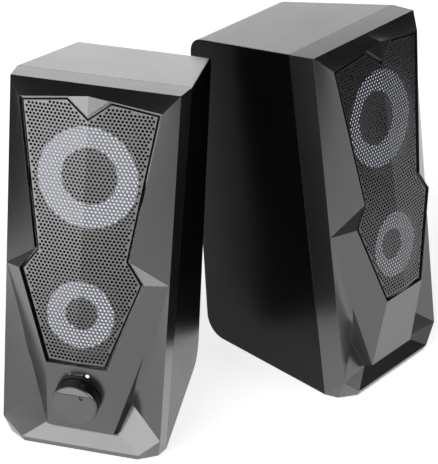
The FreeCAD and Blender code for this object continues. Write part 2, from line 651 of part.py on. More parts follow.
def suspension(speaker, kind):
    """The rubber roll round the cone and, on the woofer, the spider round the voice coil."""
    edge, wall, seat = f"{kind}_edge", "surround_wall", f"{kind}_flange_thickness"
    rim = f"{kind}_ear_circle - screw_head - cone_gap"
    inner, outer = f"({edge} + cone_gap)", f"({edge} + cone_gap + 2 * surround_radius)"
    roll = "surround_radius * 1.1"
    ring = driver_body(speaker, kind, "surround")
    turned(ring, ring.Label + "_profile", [
        (inner, f"{seat} + {wall}", roll, -1), (outer, f"{seat} + {wall}"),
        (rim, f"{seat} + {wall}"), (rim, seat), (outer, seat),
        (f"{outer} - {wall}", seat, f"({roll} - {wall})", 1), (f"{inner} + {wall}", seat), (inner, seat)])
    if kind == "woofer":
        spider = driver_body(speaker, kind, "spider")
        level = "-0.5 * woofer_basket"
        share = "0.5 * woofer_basket / (woofer_basket - basket_wall)"
        reach = f"woofer_throat - basket_wall - cone_gap - (woofer_throat - woofer_basket_foot) * {share}"
        turned(spider, spider.Label + "_profile", box_corners(
            "woofer_coil + coil_wall / 2 + cone_gap", reach, level, f"{level} + {wall}"))


def driver_screws(speaker, kind):
    body = driver_body(speaker, kind, "screws")
    reach = f"{kind}_ear_circle * cos(45)"
    top = f"{kind}_flange_thickness"
    for part, radius, length, down in (("heads", "screw_head", "screw_head_height", False),
                                       ("shanks", "screw_radius", f"{top} + screw_bite", True)):
        sketch = sketch_on(body, "XY_Plane", f"{body.Label}_{part}", top)
        for across in ("-1", "1"):
            for up in ("-1", "1"):
                circle(sketch, radius, f"{across} * {reach}", f"{up} * {reach}")
        pad(body, sketch, length, reverse=down)


# ---------------------------------------------------------------- volume control

def control_body(speaker, piece):
    """A body on the knob's axis: Z out of the panel, origin on its face."""
    return new_body(f"{speaker.name}_{piece}", speaker.place.multiply(outward("panel", "0", "0", "knob_rise")))


def volume_knob(speaker):
    """A cup over the nut, with one segment of its face cut down to a chord and a dimple to point with."""
    body = control_body(speaker, "volume_knob")
    front, roof = "(knob_gap + knob_length)", "(knob_gap + knob_recess_depth)"
    turned(body, "knob_profile", [
        ("shaft_radius", roof), ("knob_recess", roof), ("knob_recess", "knob_gap"), ("knob_radius", "knob_gap"),
        ("knob_radius", f"{front} - knob_chamfer"), ("knob_radius - knob_chamfer", front), ("0", front),
        ("0", f"{roof} + knob_socket"), ("shaft_radius", f"{roof} + knob_socket")])
    chord = sketch_on(body, "YZ_Plane", "knob_chord_cut")
    outline(chord, [("knob_chord", front), ("knob_radius + cut_margin", f"{front} - knob_drop"),
                    ("knob_radius + cut_margin", f"{front} + cut_margin"), ("knob_chord", f"{front} + cut_margin")])
    pocket(body, chord, "3 * knob_radius", midplane=True)
    dimple = sketch_on(body, "XY_Plane", "knob_dimple", front)
    circle(dimple, "dimple_radius", "dimple_across", "dimple_up")
    pocket(body, dimple, "dimple_depth")


def volume_shaft(speaker):
    body = control_body(speaker, "volume_shaft")
    turned(body, "shaft_profile", box_corners(
        "0", "shaft_radius", "-panel_wall - pot_depth / 2 + cone_gap",
        "knob_gap + knob_recess_depth + knob_socket - cone_gap"))


def potentiometer(speaker):
    body = control_body(speaker, "potentiometer")
    case = sketch_on(body, "XY_Plane", "pot_case", "-panel_wall")
    half = "pot_width / 2"
    outline(case, box_corners(f"-{half}", half, f"-{half}", half))
    pad(body, case, "pot_depth", reverse=True)
    bushing = sketch_on(body, "XY_Plane", "pot_bushing", "-panel_wall")
    circle(bushing, "bushing_radius")
    pad(body, bushing, "panel_wall + bushing_proud")
    bore = sketch_on(body, "XY_Plane", "pot_bore", "bushing_proud")
    circle(bore, "shaft_radius + shaft_clearance")
    pocket(body, bore, "bushing_proud + panel_wall + pot_depth / 2")


def potentiometer_nut(speaker):
    body = control_body(speaker, "potentiometer_nut")
    ring = sketch_on(body, "XY_Plane", "nut_outline")
    corner = "nut_flats / (2 * cos(30))"
    outline(ring, [(f"{corner} * cos({60 * step})", f"{corner} * sin({60 * step})") for step in range(6)])
    circle(ring, "bushing_radius + shaft_clearance")
    pad(body, ring, "nut_thickness")


def control_board(speaker):
    body = control_body(speaker, "control_board")
    plate = sketch_on(body, "XY_Plane", "control_board_outline", "-panel_wall - pot_depth")
    outline(plate, box_corners("-(pot_room_half - board_inset)", "pot_room_half - board_inset",
                               "-(pot_room_below - board_inset)", "pot_room_above - board_inset"))
    pad(body, plate, "board_thickness", reverse=True)


def power_light(speaker):
    body = control_body(speaker, "power_light")
    light = sketch_on(body, "XY_Plane", "light_section", "-panel_wall - pot_depth")
    circle(light, "light_radius - shaft_clearance", "light_across", "light_up")
    pad(body, light, "panel_wall + pot_depth + cone_gap")


# ---------------------------------------------------------------- back of the cabinet

def socket(speaker, piece, across, radius, length, pin=None):
    """A socket behind the back wall, its nose through the hole: Z out of the back."""
    place = speaker.place.multiply(outward("rear", across, "0", "socket_height", turn=-90))
    body = new_body(f"{speaker.name}_{piece}", place)
    case = sketch_on(body, "XY_Plane", piece + "_case", "-cabinet_wall")
    outline(case, box_corners("-socket_half", "socket_half", "-socket_half", "socket_half"))
    pad(body, case, "socket_depth", reverse=True)
    nose = sketch_on(body, "XY_Plane", piece + "_nose", "-cabinet_wall")
    circle(nose, "nose_radius")
    pad(body, nose, "cabinet_wall + nose_proud")
    bore = sketch_on(body, "XY_Plane", piece + "_bore", "nose_proud")
    circle(bore, radius)
    if pin:
        circle(bore, pin)
    pocket(body, bore, length)


def amplifier_board(speaker):
    """The board behind the sockets, with two capacitors and a folded heat sink."""
    place = speaker.place.multiply(outward("rear", "0", "0", "0", turn=-90))
    body = new_body(speaker.name + "_amplifier_board", place)
    face = "(-cabinet_wall - socket_depth)"
    plate = sketch_on(body, "XY_Plane", "amplifier_outline", face)
    outline(plate, box_corners("-amplifier_half", "amplifier_half", "-amplifier_top", "-amplifier_foot"))
    pad(body, plate, "board_thickness", reverse=True)
    back = f"{face} - board_thickness"
    cans = sketch_on(body, "XY_Plane", "capacitors", back)
    for side in ("-1", "1"):
        circle(cans, "capacitor_radius", f"{side} * (amplifier_half - 2 * capacitor_radius)",
               "-amplifier_foot - 2 * capacitor_radius")
    pad(body, cans, "capacitor_length", reverse=True)
    sink = sketch_on(body, "XY_Plane", "heatsink", back)
    low = "(-amplifier_top + post_inset * 2)"
    outline(sink, [("-heatsink_half", low), ("heatsink_half", low), ("heatsink_half", f"{low} + heatsink_depth"),
                   ("heatsink_half - heatsink_wall", f"{low} + heatsink_depth"),
                   ("heatsink_half - heatsink_wall", f"{low} + heatsink_wall"),
                   ("-heatsink_half + heatsink_wall", f"{low} + heatsink_wall"),
                   ("-heatsink_half + heatsink_wall", f"{low} + heatsink_depth"),
                   ("-heatsink_half", f"{low} + heatsink_depth")])
    pad(body, sink, "heatsink_depth", reverse=True)


# ---------------------------------------------------------------- the pair

class Speaker:
    def __init__(self, name, powered, across, deep, turn):
        self.name = name
        self.powered = powered
        self.place = FreeCAD.Placement(Vector(across, deep, 0), FreeCAD.Rotation(Vector(0, 0, 1), turn))


def build(speaker):
    hole = "nose_radius + nose_fit"
    places = [("-socket_spacing", hole), ("0", hole), ("socket_spacing", hole)] if speaker.powered else [("0", hole)]
    cabinet(speaker, places)
    feet(speaker)
    bezel(speaker)
    grille(speaker)
    for kind in ("woofer", "tweeter"):
        basket(speaker, kind)
        motor(speaker, kind)
        moving_parts(speaker, kind)
        suspension(speaker, kind)
        driver_screws(speaker, kind)
    if speaker.powered:
        for make in (volume_knob, volume_shaft, potentiometer, potentiometer_nut, control_board, power_light,
                     amplifier_board):
            make(speaker)
        socket(speaker, "audio_socket", "-socket_spacing", "plug_radius", "plug_length")
        socket(speaker, "power_socket", "0", "power_radius", "power_length", pin="power_pin")
        socket(speaker, "link_socket", "socket_spacing", "plug_radius", "plug_length")
    else:
        socket(speaker, "link_socket", "0", "plug_radius", "plug_length")


across, deep = value("pair_spacing_x") / 2, value("pair_spacing_y") / 2
build(Speaker("main", True, -across, -deep, value("main_turn")))
build(Speaker("satellite", False, across, deep, value("satellite_turn")))
doc.recompute()

# The origin is the middle of the pair's footprint, on the desk.
around_pair = FreeCAD.BoundBox()
for body, place in pieces:
    body.Placement = place
    around_pair.add(body.Shape.optimalBoundingBox(False))
shift = Vector(-around_pair.Center.x, -around_pair.Center.y, -around_pair.ZMin)
for body, place in pieces:
    body.Placement = FreeCAD.Placement(shift, FreeCAD.Rotation()).multiply(place)
doc.recompute()

for item in doc.Objects:
    if "Invalid" in item.State or "Error" in item.State:
        raise RuntimeError(f"{item.Label} failed: {item.State}")
for body, place in pieces:
    if body.Shape.isNull() or not body.Shape.isValid() or not body.Shape.Solids:
        raise RuntimeError(f"{body.Label} has no sound solid")

os.makedirs("parts", exist_ok=True)
for body, place in pieces:
    body.Shape.exportStep(f"parts/{body.Label}.step")
print(len(pieces), "nodes; origin moved by", shift)
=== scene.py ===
import json
import math
import bpy
import numpy as np
from mathutils import Matrix, Vector
from mathutils.geometry import delaunay_2d_cdt


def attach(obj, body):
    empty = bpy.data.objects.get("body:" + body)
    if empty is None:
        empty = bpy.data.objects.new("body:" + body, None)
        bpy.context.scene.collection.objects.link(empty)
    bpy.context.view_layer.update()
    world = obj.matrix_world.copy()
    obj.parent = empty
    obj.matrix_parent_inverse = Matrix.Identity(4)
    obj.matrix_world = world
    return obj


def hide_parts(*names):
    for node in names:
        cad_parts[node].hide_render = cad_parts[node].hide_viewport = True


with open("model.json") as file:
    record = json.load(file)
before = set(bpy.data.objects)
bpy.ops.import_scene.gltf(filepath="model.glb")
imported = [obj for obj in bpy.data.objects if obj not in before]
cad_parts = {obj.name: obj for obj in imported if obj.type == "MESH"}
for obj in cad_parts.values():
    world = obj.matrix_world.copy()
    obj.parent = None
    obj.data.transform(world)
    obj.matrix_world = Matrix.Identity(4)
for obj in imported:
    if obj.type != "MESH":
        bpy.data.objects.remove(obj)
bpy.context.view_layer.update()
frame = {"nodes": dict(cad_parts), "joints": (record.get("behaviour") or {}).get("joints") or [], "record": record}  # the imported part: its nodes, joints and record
nodes = frame["nodes"]
speakers = ("main", "satellite")
print("stage: frame loaded,", len(nodes), "nodes")

cameraValues = {"place": (-0.01138, -0.95713, 0.61618), "down": 28.25, "roll": 1.08,
                "lens": 152.7, "shift": (0.0182, -0.0486)}


def placeCamera(values):
    down, roll = math.radians(values["down"]), math.radians(values["roll"])
    right = Vector((1, 0, 0))
    up = Vector((0, math.sin(down), math.cos(down)))
    back = Vector((0, -math.cos(down), math.sin(down)))
    axes = Matrix((right * math.cos(roll) + up * math.sin(roll),
                   up * math.cos(roll) - right * math.sin(roll), back)).transposed().to_4x4()
    axes.translation = values["place"]
    lens = bpy.data.cameras.new("camera")
    lens.lens = values["lens"]
    lens.shift_x, lens.shift_y = values["shift"]
    lens.clip_start = 0.05
    holder = bpy.data.objects.new("camera", lens)
    holder.matrix_world = axes
    bpy.context.scene.collection.objects.link(holder)
    bpy.context.scene.camera = holder


placeCamera(cameraValues)
bpy.context.scene.view_settings.view_transform = "Standard"
print("stage: camera placed")


class Tree:
    # a thin wrapper that adds nodes and joins them by name
    def __init__(self, tree):
        self.tree = tree

    def add(self, kind, **settings):
        node = self.tree.nodes.new(kind)
        for name, setting in settings.items():
            setattr(node, name, setting)
        return node

    def put(self, node, values):
        # a socket takes either a plain value or another node's output
        for name, given in values.items():
            socket = node.inputs[name]
            if isinstance(given, bpy.types.NodeSocket):
                self.tree.links.new(given, socket)
            else:
                socket.default_value = given
        return node

    def math(self, operation, first, second, clamp=False):
        node = self.add("ShaderNodeMath", operation=operation, use_clamp=clamp)
        return self.put(node, {0: first, 1: second}).outputs[0]

    def ramp(self, given, low, high, start=0.0, end=1.0):
        node = self.add("ShaderNodeMapRange", interpolation_type="SMOOTHSTEP")
        return self.put(node, {"Value": given, "From Min": low, "From Max": high,
                               "To Min": start, "To Max": end}).outputs[0]

    def noise(self, where, scale, detail, roughness):
        node = self.add("ShaderNodeTexNoise")
        return self.put(node, {"Vector": where, "Scale": scale, "Detail": detail,
                               "Roughness": roughness}).outputs[0]

    def mixColour(self, share, first, second):
        node = self.add("ShaderNodeMix", data_type="RGBA")
        self.put(node, {0: share, 6: first, 7: second})
        return node.outputs[2]


def newGroup(name, inputs, outputs):
    # inputs: name -> (socket type, default); outputs: name -> socket type
    group = bpy.data.node_groups.new(name, "ShaderNodeTree")
    for label, (kind, default) in inputs.items():
        socket = group.interface.new_socket(label, in_out="INPUT", socket_type=kind)
        socket.default_value = default
    for label, kind in outputs.items():
        group.interface.new_socket(label, in_out="OUTPUT", socket_type=kind)
    tree = Tree(group)
    return group, tree, tree.add("NodeGroupInput").outputs, tree.add("NodeGroupOutput")


number, colour, vector = "NodeSocketFloat", "NodeSocketColor", "NodeSocketVector"


# Soft boxes by where they hang round the object: azimuth from the front towards +X, elevation,
# half angles across and up, how wide their soft edge is (as a share), and radiance. Past the
# horizon, where a direction's share of the box's centre falls to nothing, a box fades out.
studioValues = {
    "frontBox": {"azimuth": -38.5, "elevation": 14, "across": 21, "up": 32, "edge": 0.14, "strength": 4.0},
    "rightBox": {"azimuth": 66, "elevation": 25, "across": 15, "up": 14, "edge": 0.4, "strength": 2.8},
    "backBox": {"azimuth": 180, "elevation": 1.5, "across": 50, "up": 12.8, "edge": 0.2, "strength": 2.9},
    "horizon": {"least": 0.001, "fade": 0.1},
    "ambient": 0.015,
    "reflected": 0.025,  # the background between the soft boxes, as a reflection shows it
    "floor": {"low": (-0.45, -0.7), "high": (0.65, 0.75), "height": -0.0002, "reflectance": 0.8, "glow": 0.8},
}


def buildStudio(values):
    group, tree, given, result = newGroup("softBox", {
        "Direction": (vector, (0, 0, 1)), "Centre": (vector, (0, -1, 0)), "Right": (vector, (1, 0, 0)),
        "Up": (vector, (0, 0, 1)), "Half Width": (number, 0.4), "Half Height": (number, 0.4),
        "Edge": (number, 0.3), "Strength": (number, 1.0)}, {"Radiance": number})

    def dot(axis):
        node = tree.add("ShaderNodeVectorMath", operation="DOT_PRODUCT")
        return tree.put(node, {0: given["Direction"], 1: given[axis]}).outputs["Value"]

    horizon = values["horizon"]
    ahead = tree.math("MAXIMUM", dot("Centre"), horizon["least"])
    radiance = given["Strength"]
    for axis, half in (("Right", "Half Width"), ("Up", "Half Height")):
        offset = tree.math("ABSOLUTE", tree.math("DIVIDE", dot(axis), ahead), 0.0)
        share = tree.math("DIVIDE", offset, given[half])
        inner = tree.math("SUBTRACT", 1.0, given["Edge"])
        outer = tree.math("ADD", 1.0, given["Edge"])
        radiance = tree.math("MULTIPLY", radiance, tree.ramp(share, inner, outer, 1.0, 0.0))
    radiance = tree.math("MULTIPLY", radiance, tree.ramp(dot("Centre"), 0.0, horizon["fade"]))
    tree.put(result, {"Radiance": radiance})

    world = bpy.data.worlds.new("studio")
    bpy.context.scene.world = world
    world.use_nodes = True
    world.node_tree.nodes.clear()
    sky = Tree(world.node_tree)
    direction = sky.add("ShaderNodeTexCoord").outputs["Generated"]
    total = values["ambient"]
    for name in ("frontBox", "rightBox", "backBox"):
        box = values[name]
        around, above = math.radians(box["azimuth"]), math.radians(box["elevation"])
        flat = math.cos(above)
        centre = Vector((math.sin(around) * flat, -math.cos(around) * flat, math.sin(above)))
        right = Vector((0, 0, 1)).cross(centre).normalized()
        node = sky.add("ShaderNodeGroup", node_tree=group)
        sky.put(node, {"Direction": direction, "Centre": centre, "Right": right, "Up": centre.cross(right),
                       "Half Width": math.tan(math.radians(box["across"])),
                       "Half Height": math.tan(math.radians(box["up"])),
                       "Edge": box["edge"], "Strength": box["strength"]})
        total = sky.math("ADD", node.outputs["Radiance"], total)
    paths = sky.add("ShaderNodeLightPath").outputs
    seen = sky.math("MAXIMUM", paths["Is Camera Ray"], paths["Is Transmission Ray"])
    total = sky.math("ADD", total, sky.math("MULTIPLY", paths["Is Glossy Ray"], values["reflected"]))
    strength = sky.add("ShaderNodeMix", data_type="FLOAT")
    sky.put(strength, {0: seen, 2: total, 3: 1.0})
    light = sky.add("ShaderNodeBackground")
    sky.put(light, {"Color": (1, 1, 1, 1), "Strength": strength.outputs[0]})
    sky.put(sky.add("ShaderNodeOutputWorld"), {"Surface": light.outputs[0]})

    # a pale floor that stays white between the shadows
    floor = values["floor"]
    (left, front), (right, back), height = floor["low"], floor["high"], floor["height"]
    corners = [(left, front, height), (right, front, height), (right, back, height), (left, back, height)]
    mesh = bpy.data.meshes.new("floor")
    mesh.from_pydata(corners, [], [(0, 1, 2, 3)])
    plane = bpy.data.objects.new("floor", mesh)
    bpy.context.scene.collection.objects.link(plane)
    material = bpy.data.materials.new("paleFloor")
    material.use_nodes = True
    material.node_tree.nodes.clear()
    tree = Tree(material.node_tree)
    grey = floor["reflectance"]
    matt = tree.put(tree.add("ShaderNodeBsdfDiffuse"), {"Color": (grey, grey, grey, 1)})
    paths = tree.add("ShaderNodeLightPath").outputs
    shown = tree.math("MAXIMUM", paths["Is Camera Ray"],
                      tree.math("MAXIMUM", paths["Is Glossy Ray"], paths["Is Transmission Ray"]))
    glow = tree.put(tree.add("ShaderNodeEmission"), {"Color": (1, 1, 1, 1),
                                                      "Strength": tree.math("MULTIPLY", shown, floor["glow"])})
    both = tree.put(tree.add("ShaderNodeAddShader"), {0: matt.outputs[0], 1: glow.outputs[0]})
    tree.put(tree.add("ShaderNodeOutputMaterial"), {"Surface": both.outputs[0]})
    mesh.materials.append(material)


buildStudio(studioValues)
print("stage: studio lit")


effectValues = {
    "fine": {"detail": 2.0, "roughness": 0.6}, "patch": {"detail": 3.0, "roughness": 0.55},
    "specks": {"detail": 4.0, "roughness": 0.7}, "speckEdge": (0.45, 0.75), "upward": (0.2, 1.0),
}


def grainGroup(values):
    # fine moulded or coated grain, with slow patches in the gloss
    group, tree, given, result = newGroup("surfaceGrain", {
        "Grain Scale": (number, 1600.0), "Patch Scale": (number, 35.0),
        "Roughness": (number, 0.3), "Spread": (number, 0.05),
        "Color": (colour, (0.1, 0.1, 0.1, 1)), "Tint": (number, 0.1)},
        {"Color": colour, "Roughness": number, "Height": number})
    where = tree.add("ShaderNodeTexCoord").outputs["Object"]
    fine = tree.noise(where, given["Grain Scale"], **values["fine"])
    patch = tree.noise(where, given["Patch Scale"], **values["patch"])
    wander = tree.math("MULTIPLY", tree.math("SUBTRACT", patch, 0.5), given["Spread"])
    rough = tree.math("ADD", given["Roughness"], wander, clamp=True)
    light = tree.math("ADD", 1.0, tree.math("MULTIPLY", tree.math("SUBTRACT", fine, 0.5), given["Tint"]))
    scaled = tree.add("ShaderNodeVectorMath", operation="SCALE")
    tree.put(scaled, {0: given["Color"], "Scale": light})
    tree.put(result, {"Color": scaled.outputs[0], "Roughness": rough, "Height": fine})
    return group


def dustGroup(values):
    # a thin film of dust that gathers on faces that look up
    group, tree, given, result = newGroup("dustFilm", {
        "Color": (colour, (0.1, 0.1, 0.1, 1)), "Dust": (colour, (0.3, 0.29, 0.27, 1)),
        "Amount": (number, 0.05), "Scale": (number, 260.0)}, {"Color": colour})
    where = tree.add("ShaderNodeTexCoord").outputs["Object"]
    normal = tree.add("ShaderNodeNewGeometry").outputs["Normal"]
    upward = tree.put(tree.add("ShaderNodeSeparateXYZ"), {0: normal}).outputs[2]
    specks = tree.ramp(tree.noise(where, given["Scale"], **values["specks"]), *values["speckEdge"])
    lying = tree.math("MULTIPLY", tree.ramp(upward, *values["upward"]), specks)
    amount = tree.math("MULTIPLY", lying, given["Amount"])
    tree.put(result, {"Color": tree.mixColour(amount, given["Color"], given["Dust"])})
    return group


surfaceGrain, dustFilm = grainGroup(effectValues), dustGroup(effectValues)


# One entry for each finish: colour, gloss, grain and, where it matters, what the shader adds.
finishValues = {
    "cabinet_plastic": {"colour": (0.0024, 0.0024, 0.0026), "roughness": 0.29, "spread": 0.06, "grain": 1500,
                        "bump": 0.05, "dust": 0.01, "rounding": 0.0012,
                        "shader": {"Specular IOR Level": 0.18}},
    "bezel_plastic": {"colour": (0.0125, 0.0128, 0.014), "roughness": 0.22, "spread": 0.05, "grain": 1900,
                      "bump": 0.03, "dust": 0.02, "rounding": 0.00025,
                      "shader": {"Specular IOR Level": 0.74, "IOR": 1.77}},
    "grille_steel": {"colour": (0.018, 0.0176, 0.018), "roughness": 0.27, "spread": 0.06, "grain": 2600,
                     "bump": 0.08, "dust": 0.02, "rounding": 0.0001,
                     "shader": {"Specular IOR Level": 1.0, "IOR": 1.58}},
    "foot_rubber": {"colour": (0.024, 0.024, 0.024), "roughness": 0.75, "spread": 0.08, "grain": 2200,
                    "bump": 0.1, "dust": 0.1, "rounding": 0.0003, "shader": {"Specular IOR Level": 1.0}},
    "basket_steel": {"colour": (0.02, 0.02, 0.02), "roughness": 0.5, "spread": 0.05, "grain": 1800,
                     "bump": 0.05, "dust": 0.0, "rounding": 0.0002, "shader": {"Specular IOR Level": 0.6}},
    "motor_steel": {"colour": (0.55, 0.54, 0.52), "roughness": 0.32, "spread": 0.1, "grain": 1800,
                    "bump": 0.05, "dust": 0.0, "rounding": 0.0002, "shader": {"Metallic": 1.0}},
    "ferrite": {"colour": (0.07, 0.07, 0.076), "roughness": 0.6, "spread": 0.1, "grain": 900,
                "bump": 0.2, "dust": 0.0, "rounding": 0.0004, "shader": {"Specular IOR Level": 1.0}},
    # painted light: the cones' pale blue emission is a painted glow that makes them show bright through the
    # sheet; the cones are no lamp
    "cone_paper": {"colour": (0.86, 0.89, 0.97), "roughness": 0.42, "spread": 0.08, "grain": 1300,
                   "bump": 0.15, "dust": 0.0, "rounding": 0.0002,
                   "shader": {"Emission Color": (0.80, 0.85, 1.0, 1), "Emission Strength": 0.55}},
    "cap_paper": {"colour": (0.01, 0.01, 0.012), "roughness": 0.6, "spread": 0.06, "grain": 1300,
                  "bump": 0.15, "dust": 0.0, "rounding": 0.0002, "shader": {"Specular IOR Level": 0.4}},
    "copper_coil": {"colour": (0.7, 0.32, 0.16), "roughness": 0.3, "spread": 0.05, "grain": 2000,
                    "bump": 0.1, "dust": 0.0, "rounding": 0.0001, "shader": {"Metallic": 1.0}},
    "surround_rubber": {"colour": (0.02, 0.02, 0.022), "roughness": 0.55, "spread": 0.06, "grain": 1800,
                        "bump": 0.08, "dust": 0.0, "rounding": 0.0001, "shader": {"Specular IOR Level": 0.5}},
    "spider_cloth": {"colour": (0.5, 0.36, 0.15), "roughness": 0.85, "spread": 0.05, "grain": 1500,
                     "bump": 0.3, "dust": 0.0, "rounding": 0.0001, "shader": {"Specular IOR Level": 1.0}},
    "screw_steel": {"colour": (0.06, 0.06, 0.064), "roughness": 0.4, "spread": 0.05, "grain": 2500,
                    "bump": 0.05, "dust": 0.0, "rounding": 0.0002, "shader": {"Metallic": 1.0}},
    "knob_plastic": {"colour": (0.006, 0.006, 0.006), "roughness": 0.35, "spread": 0.05, "grain": 2300,
                     "bump": 0.04, "dust": 0.01, "rounding": 0.0002, "shader": {"Specular IOR Level": 0.4}},
    # painted light: a lighter copy of the knob's black plastic for the bowed brow, painted lighter where it
    # tilts up towards the lights
    "knob_segment_painted_light": {"colour": (0.1, 0.1, 0.102), "roughness": 0.3, "spread": 0.05, "grain": 2300,
                     "bump": 0.04, "dust": 0.02, "rounding": 0.0002,
                     "shader": {"Specular IOR Level": 1.0, "IOR": 1.9}},
    # painted light: a lighter, glossier copy of the knob's black plastic for the rim, face and dimple, against
    # the darker skirt
    "knob_face_painted_light": {"colour": (0.028, 0.028, 0.03), "roughness": 0.26, "spread": 0.05, "grain": 2300,
                  "bump": 0.04, "dust": 0.02, "rounding": 0.0002,
                  "shader": {"Specular IOR Level": 0.76, "IOR": 1.78}},
    "pot_case": {"colour": (0.6, 0.6, 0.6), "roughness": 0.35, "spread": 0.1, "grain": 1800,
                 "bump": 0.05, "dust": 0.0, "rounding": 0.0002, "shader": {"Metallic": 1.0}},
    "circuit_board": {"colour": (0.02, 0.12, 0.05), "roughness": 0.35, "spread": 0.1, "grain": 900,
                      "bump": 0.1, "dust": 0.0, "rounding": 0.0001, "shader": {"Specular IOR Level": 1.0}},
    "light_lens": {"colour": (0.9, 0.95, 1.0), "roughness": 0.2, "spread": 0.02, "grain": 1500,
                   "bump": 0.0, "dust": 0.0, "rounding": 0.0002,
                   "shader": {"Emission Color": (0.9, 0.95, 1.0, 1), "Emission Strength": 0.5}},
    "socket_plastic": {"colour": (0.024, 0.024, 0.026), "roughness": 0.45, "spread": 0.05, "grain": 1500,
                       "bump": 0.06, "dust": 0.02, "rounding": 0.0003, "shader": {"Specular IOR Level": 1.0}},
    # painted shade: a near-black matt finish for the strip in the gap and the sheet on the recess floor
    "painted_shade_black": {"colour": (0.003, 0.003, 0.003), "roughness": 0.95, "spread": 0.03, "grain": 2500,
                    "bump": 0.2, "dust": 0.0, "rounding": 0.0001, "shader": {"Specular IOR Level": 0.2}},
    "mark_paint": {"colour": (0.36, 0.37, 0.39), "roughness": 0.5, "spread": 0.05, "grain": 2500,
                   "bump": 0.05, "dust": 0.0, "rounding": 0.0001, "shader": {}},
}


sharedValues = {"tint": 0.25, "grainDepth": 0.0002, "edgeSamples": 6}


def makeFinish(name, values):
    material = bpy.data.materials.new(name)
    material.use_nodes = True
    tree = Tree(material.node_tree)
    shader = material.node_tree.nodes["Principled BSDF"]
    grain = tree.put(tree.add("ShaderNodeGroup", node_tree=surfaceGrain), {
        "Grain Scale": float(values["grain"]), "Roughness": values["roughness"], "Spread": values["spread"],
        "Color": (*values["colour"], 1), "Tint": sharedValues["tint"]})
    dust = tree.put(tree.add("ShaderNodeGroup", node_tree=dustFilm), {
        "Color": grain.outputs["Color"], "Amount": values["dust"]})
    corners = tree.put(tree.add("ShaderNodeBevel", samples=sharedValues["edgeSamples"]),
                       {"Radius": values["rounding"]})
    bump = tree.put(tree.add("ShaderNodeBump"), {
        "Height": grain.outputs["Height"], "Strength": values["bump"],
        "Distance": sharedValues["grainDepth"], "Normal": corners.outputs[0]})
    tree.put(shader, {"Base Color": dust.outputs["Color"], "Roughness": grain.outputs["Roughness"],
                      "Normal": bump.outputs[0], **values["shader"]})
    return material


finishes = {name: makeFinish(name, values) for name, values in finishValues.items()}
slotOf = {part["node"]: part["material_slot"] for part in frame["record"]["subparts"]}
for node, holder in nodes.items():
    for place in holder.material_slots:
        place.material = finishes[slotOf[node]]
print("stage: finishes on", len(nodes), "nodes")


def newPiece(name, points, faces, finish, body, smooth=False):
    mesh = bpy.data.meshes.new(name)
    mesh.from_pydata(np.asarray(points).tolist(), [], [tuple(face) for face in faces])
    mesh.materials.append(finishes[finish])
    mesh.polygons.foreach_set("use_smooth", np.full(len(mesh.polygons), smooth))
    mesh.update()
    piece = bpy.data.objects.new(name, mesh)
    bpy.context.scene.collection.objects.link(piece)
    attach(piece, body)
    return piece


def nodePoints(node):
    mesh = nodes[node].data
    points = np.empty(len(mesh.vertices) * 3)
    mesh.vertices.foreach_get("co", points)
    return points.reshape(-1, 3)


def frontAxes(name):
    # rows: across to the right, ahead along the named joint's axis, and up at right angles to both
    joint = next(joint for joint in frame["joints"] if joint["name"] == name)
    ahead = np.array(joint["axis"]) / np.linalg.norm(joint["axis"])
    across = np.cross((0, 0, 1), ahead)
    across /= np.linalg.norm(across)
    return np.array((across, ahead, np.cross(ahead, across)))


class Facing:
    # a speaker's front: across to its right, ahead out of the grille's plane, rise up that plane
    def __init__(self, side):
        self.axes = frontAxes(side + "_woofer_travel")
        local = nodePoints(side + "_grille") @ self.axes.T
        self.middle = (local[:, 0].min() + local[:, 0].max()) / 2

    def local(self, points):
        return np.asarray(points) @ self.axes.T - (self.middle, 0, 0)

    def world(self, local):
        return (np.asarray(local) + (self.middle, 0, 0)) @ self.axes


# Lengths are in metres; fold is how far the sheet falls back for each metre across.
outlineValues = {"decimals": 6, "waist": 0.47, "onMiddle": 1e-5}
sheetValues = {"scale": 10, "nearest": 1e-8}
grilleValues = {"pitch": 0.00209, "hole": 0.00071, "sides": 10, "columns": 30, "margin": 0.0001,
                "fold": 0.0873, "inset": 0.0015, "thickness": 0.0005}
# painted shade pieces: a near-black strip in the gap round the sheet, and a near-black sheet on the recess
# floor
gapShadeValues = {"outside": 0.00045, "inside": -0.002, "fold": 0.0873}
recessShadeValues = {"inset": 0.0008, "flange": 0.0012, "lift": 0.0001, "clear": 0.0003, "sides": 64}


def openingOutline(side):
    # the grille sheet's corners in (across, rise), in order round its waist, with its crest and its back
    facing = Facing(side)
    local = facing.local(nodePoints(side + "_grille"))
    corners = np.unique(np.round(local[:, (0, 2)], outlineValues["decimals"]), axis=0)
    low, high = corners[:, 1].min(), corners[:, 1].max()
    centre = np.array((0.0, low + (high - low) * outlineValues["waist"]))
    outline = corners[np.argsort(np.arctan2(*(corners - centre).T[::-1]))]
    middle = local[np.abs(local[:, 0]) < outlineValues["onMiddle"], 1]
    return facing, outline, middle.max(), middle.min()


def moved(outline, distance):
    # the outline with each edge pushed out by a distance: a corner goes to where its two edges then meet
    along = np.roll(outline, -1, axis=0) - outline
    out = np.stack((along[:, 1], -along[:, 0]), axis=-1) / np.linalg.norm(along, axis=1)[:, None]
    before = np.roll(out, 1, axis=0)
    return outline + distance * (out + before) / (1 + (out * before).sum(1))[:, None]


def insideOutline(points, outline, margin):
    # which points lie inside a closed outline and at least a margin from its edges
    start, end = outline, np.roll(outline, -1, axis=0)
    along = end - start
    offset = points[:, None, :] - start[None]
    share = np.clip((offset * along).sum(2) / (along ** 2).sum(1), 0, 1)
    distance = np.linalg.norm(offset - share[..., None] * along, axis=2).min(1)
    above = (start[:, 1] > points[:, 1, None]) != (end[:, 1] > points[:, 1, None])
    rise = np.where(along[:, 1] == 0, 1, along[:, 1])
    crossing = start[:, 0] + (points[:, 1, None] - start[:, 1]) * along[:, 0] / rise
    inside = (above & (points[:, 0, None] < crossing)).sum(1) % 2 == 1
    return inside & (distance > margin)


